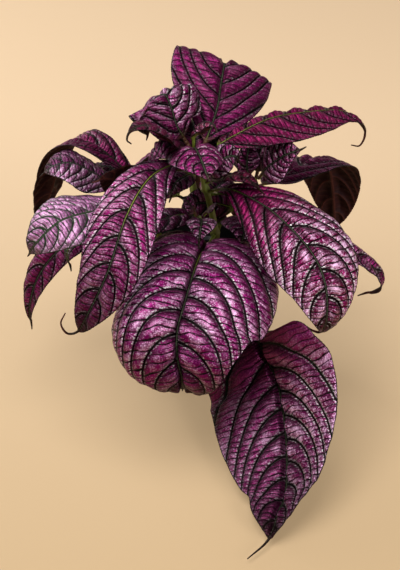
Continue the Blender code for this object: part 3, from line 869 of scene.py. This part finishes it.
def build_pot(finish):
    under_rim = POT_HEIGHT - POT_RIM_DEPTH
    rings = [point for height in POT_RINGS for point in ring_profile(height)]
    profile = (
        (0, 0),
        (POT_BASE_RADIUS - POT_FOOT_BEVEL, 0),
        (POT_BASE_RADIUS, POT_FOOT_BEVEL),
        *rings,
        (pot_wall_radius(under_rim), under_rim),
        (POT_RIM_RADIUS, under_rim + POT_LEDGE_RISE),
        (POT_RIM_RADIUS, POT_HEIGHT - POT_EDGE_BEVEL),
        (POT_RIM_RADIUS - POT_EDGE_BEVEL, POT_HEIGHT),
        (POT_RIM_RADIUS - POT_WALL, POT_HEIGHT),
        (POT_RIM_RADIUS - POT_WALL, under_rim + POT_LEDGE_WALL),
        (pot_wall_radius(under_rim, POT_WALL), under_rim),
        (pot_wall_radius(POT_FLOOR, POT_WALL), POT_FLOOR),
        (0, POT_FLOOR),
    )
    pot = placed("pot_shell", turned(profile, POT_SIDES), [finish], "pot_plastic", "pot")
    holes = bmesh.new()
    for number in range(DRAIN_HOLES):
        angle = math.tau * (number + 0.5) / DRAIN_HOLES
        made = bmesh.ops.create_cone(
            holes, cap_ends=True, segments=DRAIN_SIDES, radius1=DRAIN_RADIUS,
            radius2=DRAIN_RADIUS, depth=POT_FLOOR + 2 * CUT_CLEAR,
        )
        centre = (DRAIN_CIRCLE * math.cos(angle), DRAIN_CIRCLE * math.sin(angle), POT_FLOOR / 2)
        bmesh.ops.translate(holes, verts=made["verts"], vec=centre)
    cut(pot, holes)
    pot.data.set_sharp_from_angle(angle=math.radians(SHARP_ANGLE))


def cut(body, bm):
    """Cuts the bmesh, in millimetres, from the body for good."""
    cutter = add("cutter", mesh_of("cutter", bm))
    modifier = body.modifiers.new("cutter", "BOOLEAN")
    modifier.operation = "DIFFERENCE"
    modifier.solver = "EXACT"
    modifier.object = cutter
    graph = bpy.context.evaluated_depsgraph_get()
    body.data = bpy.data.meshes.new_from_object(body.evaluated_get(graph))
    body.modifiers.clear()
    bpy.data.objects.remove(cutter)


def soil_height(x, y):
    broad = noise.noise(Vector((x, y, SOIL_LUMP_SEED)) / SOIL_LUMP_SPAN)
    fine = noise.noise(Vector((x, y, 1.0)) / SOIL_GRAIN_SPAN)
    drop = SOIL_DROP * (math.hypot(x, y) / SOIL_RADIUS) ** 6
    return SOIL_TOP + SOIL_LUMP * broad + SOIL_GRAIN * fine - drop


def build_soil(finish):
    bm, _, _ = grid(SOIL_CELLS, SOIL_CELLS, double=True)
    upper = SOIL_CELLS**2
    for number, vert in enumerate(bm.verts):
        x, y = vert.co.xy
        reach = max(abs(x), abs(y))
        scale = SOIL_RADIUS * reach / (math.hypot(x, y) or 1)
        x, y = x * scale, y * scale
        vert.co = (x, y, soil_height(x, y) if number < upper else SOIL_TOP - SOIL_DEPTH)
    placed("soil_bed", bm, [finish], "potting_soil", "soil")


def scatter(name, count, sizes, subdivisions, seed, finish):
    """Small lumps that lie half sunk on the soil, clear of the stems."""
    draw = random.Random(seed)
    bm = bmesh.new()
    stems = [stem.points[1][:2] for stem in STEMS]
    for _ in range(count):
        radius = SOIL_RADIUS * math.sqrt(draw.random()) * LUMP_REACH
        angle = draw.uniform(0, math.tau)
        x, y = radius * math.cos(angle), radius * math.sin(angle)
        size = draw.uniform(*sizes)
        if min(math.dist((x, y), stem) for stem in stems) < LUMP_STEM_CLEAR + size:
            continue
        lump = bmesh.ops.create_icosphere(bm, subdivisions=subdivisions, radius=size)["verts"]
        for vert in lump:
            vert.co *= 1 + LUMP_DENT * noise.noise(vert.co * LUMP_DENT_RATE + Vector((x, y, 0)))
        breadth, height = draw.uniform(*LUMP_BREADTHS), draw.uniform(*LUMP_HEIGHTS)
        bmesh.ops.scale(bm, vec=(1, breadth, height), verts=lump)
        bmesh.ops.translate(bm, verts=lump, vec=(x, y, soil_height(x, y) + LUMP_LIFT * size))
    placed(name, bm, [finish], "potting_soil")


class Wire:
    """A number on a surface. Python's operators on it add Math nodes."""

    def __init__(self, finish, socket):
        self.finish, self.socket = finish, socket

    def __add__(self, other):
        return self.finish.math("ADD", self, other)

    __radd__ = __add__

    def __mul__(self, other):
        return self.finish.math("MULTIPLY", self, other)

    __rmul__ = __mul__

    def __sub__(self, other):
        return self.finish.math("SUBTRACT", self, other)

    def __rsub__(self, other):
        return self.finish.math("SUBTRACT", other, self)

    def __truediv__(self, other):
        return self.finish.math("DIVIDE", self, other)

    def __rtruediv__(self, other):
        return self.finish.math("DIVIDE", other, self)

    def __abs__(self):
        return self.finish.math("ABSOLUTE", self)

    def most(self, other):
        return self.finish.math("MAXIMUM", self, other)

    def least(self, other):
        return self.finish.math("MINIMUM", self, other)

    def to_whole(self):
        """How far the number is from the nearest whole one, up to a half."""
        return abs((self + 0.5).past_whole() - 0.5)

    def past_whole(self):
        """How far the number is past the last whole one."""
        return self.finish.math("FRACT", self)

    def rise(self, low, high):
        """0 up to low, 1 from high on, and a smooth rise between them."""
        return self.finish.wire(
            "ShaderNodeMapRange", {"interpolation_type": "SMOOTHSTEP"},
            {"Value": self, "From Min": low, "From Max": high},
        )

    def fall(self, low, high):
        return 1 - self.rise(low, high)


class Finish:
    """A material whose Principled shader is fed by wires."""

    def __init__(self, name, fixed=None):
        self.material = bpy.data.materials.new(name)
        self.material.use_nodes = True
        self.tree = self.material.node_tree
        self.shader = self.tree.nodes["Principled BSDF"]
        self.spot = self.wire("ShaderNodeTexCoord", output="Object")
        self.feed(self.shader, fixed or {})

    def feed(self, node, inputs):
        pairs = inputs.items() if isinstance(inputs, dict) else enumerate(inputs)
        for key, value in pairs:
            if isinstance(value, Wire):
                self.tree.links.new(value.socket, node.inputs[key])
            else:
                node.inputs[key].default_value = value

    def wire(self, kind, settings=None, inputs=(), output=0):
        """A node of any kind: its settings first, then its sockets' values or wires."""
        made = self.tree.nodes.new(kind)
        for name, value in (settings or {}).items():
            setattr(made, name, value)
        self.feed(made, inputs)
        return Wire(self, made.outputs[output])

    def math(self, operation, *values):
        return self.wire("ShaderNodeMath", {"operation": operation}, values)

    def mix(self, share, start, end):
        """A colour between two."""
        inputs = {0: share, 6: start, 7: end}
        return self.wire("ShaderNodeMix", {"data_type": "RGBA"}, inputs, output=2)

    def noise(self, span, detail=2.0):
        """Noise from 0 to 1 with bumps a span wide, in millimetres."""
        inputs = {"Vector": self.spot, "Scale": 1 / (span * MM), "Detail": detail}
        return self.wire("ShaderNodeTexNoise", None, inputs)

    def cells(self, span):
        """Round cells a span wide, in millimetres: the distance from each one's middle."""
        inputs = {"Vector": self.spot, "Scale": 1 / (span * MM)}
        return self.wire("ShaderNodeTexVoronoi", None, inputs, "Distance")

    def attribute(self, name):
        found = self.wire("ShaderNodeAttribute", {"attribute_name": name}, output="Vector")
        split = self.wire("ShaderNodeSeparateXYZ", None, [found]).socket.node
        return [Wire(self, output) for output in split.outputs]

    def done(self, base, roughness, height, **more):
        """The material, with its colour, its roughness and its fine relief in millimetres."""
        normal = self.wire("ShaderNodeBump", None, {"Distance": MM, "Height": height})
        inputs = {"Base Color": base, "Roughness": roughness, "Normal": normal, **more}
        self.feed(self.shader, inputs)
        return self.material


def colour(red, green, blue):
    """A display colour, 0 to 255, as the shader's linear one."""
    shares = [value / 255 for value in (red, green, blue)]
    linear = [x / 12.92 if x < 0.04 else ((x + 0.055) / 1.055) ** 2.4 for x in shares]
    return (*linear, 1.0)


VIOLET = colour(118, 6, 88)
WINE = colour(104, 6, 48)
PANEL_SHADE = colour(34, 0, 20)
SILVER = colour(214, 168, 204)
LILAC = colour(206, 150, 200)
VEIN_DARK = colour(12, 16, 11)
# The colour of the painted highlights beside the veins.
GLINT_WHITE = colour(196, 190, 192)
PALE_VEIN = colour(50, 88, 48)
RIB_GREEN = colour(118, 128, 48)
RIB_DARK = colour(58, 62, 46)
TIP_BROWN = colour(46, 26, 22)
STALK_GREEN = colour(112, 124, 44)
STALK_BROWN = colour(74, 46, 32)
UNDER_MAROON = colour(42, 10, 12)
UNDER_SHADE = colour(28, 8, 12)
UNDER_VEIN_BROWN = colour(70, 30, 24)
BLACK = colour(4, 2, 3)
STEM_GREEN = colour(126, 136, 54)
STEM_OLIVE = colour(92, 100, 42)
STEM_FLUSH = colour(84, 34, 46)
SOIL_DARK = colour(38, 26, 18)
SOIL_BROWN = colour(74, 54, 38)
SOIL_FIBRE = colour(112, 88, 62)
PERLITE_GREY = colour(196, 188, 172)
PERLITE_WHITE = colour(236, 232, 222)
POT_BLACK = colour(40, 40, 42)
POT_DUST = colour(86, 78, 70)
# The floor's colours near and far: it is painted paler further back.
PAPER_NEAR = colour(138, 116, 86)
PAPER_FAR = colour(160, 138, 111)

LEAF_SPECULAR = 0.15
CROWN_BROWN = (0.165, 0.178)  # the heights, in metres, over which a stem's top turns brown
PAPER_SPAN = (-0.45, 0.5)  # the depths, in metres, over which the floor is painted paler, a painted falloff of light

# Marks on a leaf's upper side, painted highlights among them. A pair says where a mark fades in or
# out: millimetres, or for breaks, glints on the edge, pebbles and grain the levels of a noise.
LINE_WOBBLE = 0.9
VEIN_GAPS = (2.0, 9.0)  # from one side vein to the next, over which the veins get thicker
VEIN_THIN = 0.06
VEIN_GROWTH = 0.32
VEIN_FADE = (0.0, 0.32)
RUNG_FADE = (0.12, 0.5)
RUNG_BREAKS = (0.2, 0.45)
RUNG_GAPS = (2.5, 5.0)
DASH_FADE = (0.1, 0.45)
DASH_REACH = (5.0, 16.0)
RIB_SHADE_FADE = (0.7, 1.3)
MIDRIB_FADE = (0.2, 0.5)
MARGIN_FADE = (0.2, 0.8)
# Painted highlights beside the side veins:
VEIN_GLINT_NEAR = (0.3, 0.6)
VEIN_GLINT_FAR = (0.9, 1.7)
VEIN_GLINT_BREAKS = (0.42, 0.62)
VEIN_GLINT_GAPS = (2.5, 6.0)
# Painted highlights on the teeth of the edge:
EDGE_GLINT_CELL = 1.4
EDGE_GLINT_FADE = (0.25, 0.5)
EDGE_GLINT_NEAR = (0.3, 0.8)
EDGE_GLINT_FAR = (1.2, 3.4)
PEBBLE_CELL = 1.25
PEBBLE_FADE = (0.15, 0.6)
SILVER_GRAIN = (0.58, 1.08)
PALE_EDGE = (0.5, 6.0)


def leaf_top():
    finish = Finish("leaf_top", {"Specular IOR Level": LEAF_SPECULAR})
    veins, ladder, gap = finish.attribute("vein")
    side, edge, along = finish.attribute("place")
    warm, silver, pale = finish.attribute("tone")
    rib, dark, stalk = finish.attribute("part")
    broad, middle, fine = finish.noise(18), finish.noise(4.5), finish.noise(1.3, 3)
    wobble = (middle - 0.5) * LINE_WOBBLE
    share = veins.to_whole()
    away = share * gap + wobble * 0.35
    rung = ladder.to_whole() * LADDER_STEP + wobble
    dash = (ladder * 2).to_whole() * LADDER_STEP / 2 + wobble * 0.5
    centre = abs(side)
    inner = centre.fall(*DASH_REACH)

    beside = away - (gap.rise(*VEIN_GAPS) * VEIN_GROWTH + VEIN_THIN)
    vein = beside.fall(*VEIN_FADE)
    behind = veins.past_whole()
    rungs = rung.fall(*RUNG_FADE) * finish.noise(7).rise(*RUNG_BREAKS) * gap.rise(*RUNG_GAPS)
    rungs = rungs.most(dash.fall(*DASH_FADE) * inner * 0.7) * (0.4 + silver).least(1.0)
    rib_shade = centre.fall(*RIB_SHADE_FADE)
    midrib = centre.fall(*MIDRIB_FADE)
    margin = edge.fall(*MARGIN_FADE)
    # Painted highlights: white glints beside the side veins, more of them on one side of each vein; the
    # same mask also raises a fine bump.
    vein_glints = beside.rise(*VEIN_GLINT_NEAR) * beside.fall(*VEIN_GLINT_FAR) * dash.rise(0.1, 0.7)
    vein_glints = vein_glints * fine.rise(*VEIN_GLINT_BREAKS) * (0.4 + 0.6 * behind.rise(0.4, 0.6))
    vein_glints = vein_glints * gap.rise(*VEIN_GLINT_GAPS)
    # Painted highlights: glints on the teeth along the edge.
    dots = finish.cells(EDGE_GLINT_CELL).fall(*EDGE_GLINT_FADE)
    edge_glints = edge.fall(*EDGE_GLINT_FAR) * edge.rise(*EDGE_GLINT_NEAR) * dots
    pebbles = finish.cells(PEBBLE_CELL).fall(*PEBBLE_FADE)
    # Painted highlight: the panels are painted lit away from the side veins, the rungs and the strip by
    # each baseward vein.
    painted_highlight = behind.rise(0.1, 0.6) * share.rise(0.03, 0.14) * rung.rise(0.0, 1.0).most(0.3)
    grain = (pebbles * 0.2 + fine * 0.35 + middle * 0.5 + broad * 0.5).rise(*SILVER_GRAIN)
    # Silver, as the leaf's own colour and as painted highlight, with painted glints on the edge.
    silver_and_highlight = silver * (painted_highlight * grain).most(edge_glints)

    base = finish.mix(warm + (broad - 0.5) * 0.6, VIOLET, WINE)
    base = finish.mix(pale, base, LILAC)
    # Painted shade: darker in the valleys by the side veins and the rungs, on the strip of each panel
    # next to its baseward vein, and near the stalk; the leaf is also darker at random between the
    # pebbles.
    depth = (share.fall(0.03, 0.18) * 0.8).most(rung.fall(0.1, 0.9) * 0.5)
    depth = depth.most(behind.fall(0.1, 0.45) * 0.6).most(along.fall(0.0, 0.15) * 0.6)
    depth = (depth + (1 - pebbles) * fine.rise(0.35, 0.65) * 0.35).least(1.0) * (1 - pale * 0.5)
    base = finish.mix(depth, base, PANEL_SHADE)
    base = finish.mix(silver_and_highlight, base, SILVER)
    base = finish.mix(vein_glints * (0.2 + silver), base, GLINT_WHITE)
    vein_colour = finish.mix(pale, VEIN_DARK, PALE_VEIN)
    lines = vein.most(rungs * 0.95).most(rib_shade).most(margin)
    base = finish.mix(lines.most(pale * edge.fall(*PALE_EDGE)), base, vein_colour)
    rib_colour = finish.mix((along - rib).rise(-0.12, 0.12), RIB_GREEN, RIB_DARK)
    base = finish.mix(midrib, base, rib_colour)
    base = finish.mix(along.rise(0.85, 1.0) * 0.8, base, TIP_BROWN)
    # Painted shade over the whole leaf and towards its tip, mixed towards black.
    base = finish.mix(dark * 0.8, base, BLACK)
    base = finish.mix(stalk, base, finish.mix(rib.rise(0.0, 0.3), STALK_BROWN, STALK_GREEN))

    cord = away.fall(0.0, 0.6) * 0.3 - rung.fall(0.0, 0.5) * 0.2 - dash.fall(0.0, 0.6) * inner * 0.25
    metallic = (0.62 - silver_and_highlight * 0.2 - pale * 0.2).most(lines * (0.95 - pale * 0.6))
    metallic = metallic * (1 - stalk) * (1 - midrib * 0.8)
    relief = cord + vein_glints * 0.2 + pebbles * 0.15 * (1 - vein) + fine * 0.08
    return finish.done(base, 0.34 + (fine - 0.5) * 0.15, relief, Metallic=metallic)


def leaf_under():
    finish = Finish("leaf_under", {"Specular IOR Level": LEAF_SPECULAR})
    veins, ladder, gap = finish.attribute("vein")
    side, edge, _ = finish.attribute("place")
    _, _, stalk = finish.attribute("part")
    broad, fine = finish.noise(12), finish.noise(1.0, 3)
    away = veins.to_whole() * gap
    rung = ladder.to_whole() * LADDER_STEP
    ridge = away.fall(0.3, 1.0).most(abs(side).fall(0.6, 1.4)).most(rung.fall(0.1, 0.5) * 0.4)
    base = finish.mix(broad.rise(0.3, 0.7) * 0.5, UNDER_MAROON, UNDER_SHADE)
    base = finish.mix(ridge * 0.7, base, UNDER_VEIN_BROWN)
    base = finish.mix(edge.fall(0.3, 1.0) * 0.6, base, UNDER_VEIN_BROWN)
    base = finish.mix(stalk, base, STALK_GREEN)
    return finish.done(base, 0.6 + fine * 0.1, away.fall(0.0, 0.9) * 0.2 + fine * 0.12)


def stem_skin():
    finish = Finish("stem_skin")
    broad, fine = finish.noise(9), finish.noise(1.1, 3)
    base = finish.mix(broad.rise(0.4, 0.7), STEM_GREEN, STEM_OLIVE)
    base = finish.mix(finish.noise(22).rise(0.55, 0.75) * 0.6, base, STEM_FLUSH)
    height = finish.wire("ShaderNodeSeparateXYZ", None, [finish.spot], output="Z")
    base = finish.mix(height.rise(*CROWN_BROWN), base, STALK_BROWN)
    return finish.done(base, 0.42 + fine * 0.12, fine * 0.15)


def potting_soil():
    finish = Finish("potting_soil")
    broad, fine = finish.noise(6), finish.noise(0.9, 4)
    base = finish.mix(broad, SOIL_DARK, SOIL_BROWN)
    base = finish.mix(fine.rise(0.55, 0.7) * 0.6, base, SOIL_FIBRE)
    return finish.done(base, 0.9 + fine * 0.1, fine * 0.7 + finish.cells(1.6) * 0.5)


def perlite():
    finish = Finish("perlite")
    fine = finish.noise(0.7, 3)
    base = finish.mix(fine.rise(0.3, 0.7), PERLITE_GREY, PERLITE_WHITE)
    return finish.done(base, 0.85 + fine * 0.1, fine * 0.3)


def pot_plastic():
    finish = Finish("pot_plastic_moulded")
    broad, fine = finish.noise(20), finish.noise(0.5, 2)
    dust = finish.noise(35, 4).rise(0.5, 0.8)
    base = finish.mix(dust * 0.5, POT_BLACK, POT_DUST)
    return finish.done(base, 0.42 + dust * 0.25 + broad * 0.08, fine * 0.05)


def studio_floor():
    bm = bmesh.new()
    bmesh.ops.create_grid(bm, x_segments=1, y_segments=1, size=FLOOR_SIZE)
    floor = add("floor", mesh_of("floor", bm))
    # Painted light: the floor glows with its own colour, lifting the shadows on it, and is painted paler
    # further back.
    finish = Finish("floor_paper", {"Roughness": 0.9, "Emission Strength": 1.0})
    away = finish.wire("ShaderNodeSeparateXYZ", None, [finish.spot], output="Y")
    tone = finish.mix(away.rise(*PAPER_SPAN), PAPER_NEAR, PAPER_FAR)
    finish.feed(finish.shader, {"Base Color": tone, "Emission Color": tone})
    floor.data.materials.append(finish.material)


def softbox(name, place, size, energy):
    """A square light, at a place in metres, that faces the plant."""
    light = bpy.data.lights.new(name, "AREA")
    light.size = size
    light.energy = energy
    made = add(name, light)
    made.location = place
    aim = Vector(LIGHT_TARGET) * MM - made.location
    made.rotation_euler = aim.to_track_quat("-Z", "Y").to_euler()


def studio():
    scene = bpy.context.scene
    world = bpy.data.worlds.new("studio")
    world.use_nodes = True
    background = world.node_tree.nodes["Background"]
    background.inputs["Color"].default_value = WORLD_TINT
    background.inputs["Strength"].default_value = WORLD_STRENGTH
    scene.world = world
    scene.view_settings.view_transform = "Standard"
    studio_floor()
    for light in LIGHTS:
        softbox(*light)


def camera():
    tilt = math.radians(CAMERA_ELEVATION)
    back = Vector((0, -math.cos(tilt), math.sin(tilt))) * CAMERA_DISTANCE
    lens = bpy.data.cameras.new("camera")
    lens.sensor_width = SENSOR
    lens.lens = SENSOR * CAMERA_DISTANCE / (IMAGE_HEIGHT * PIXEL_SIZE)
    made = add("camera", lens)
    made.location = (Vector(CAMERA_TARGET) + back) * MM
    made.rotation_euler = (math.pi / 2 - tilt, 0, 0)
    bpy.context.scene.camera = made


camera()
studio()
build_pot(pot_plastic())
soil_finish = potting_soil()
build_soil(soil_finish)
scatter("soil_crumbs", CRUMBS, CRUMB_SIZES, CRUMB_ROUNDNESS, CRUMB_SEED, soil_finish)
scatter("perlite_flecks", FLECKS, FLECK_SIZES, FLECK_ROUNDNESS, FLECK_SEED, perlite())
stem_finish = stem_skin()
for stem in STEMS:
    build_stem(stem, stem_finish)
leaf_finishes = (leaf_top(), leaf_under())
for number, entry in enumerate(LEAVES):
    build_leaf(entry, LEAF_SEED_STEP * (number + 1), leaf_finishes)
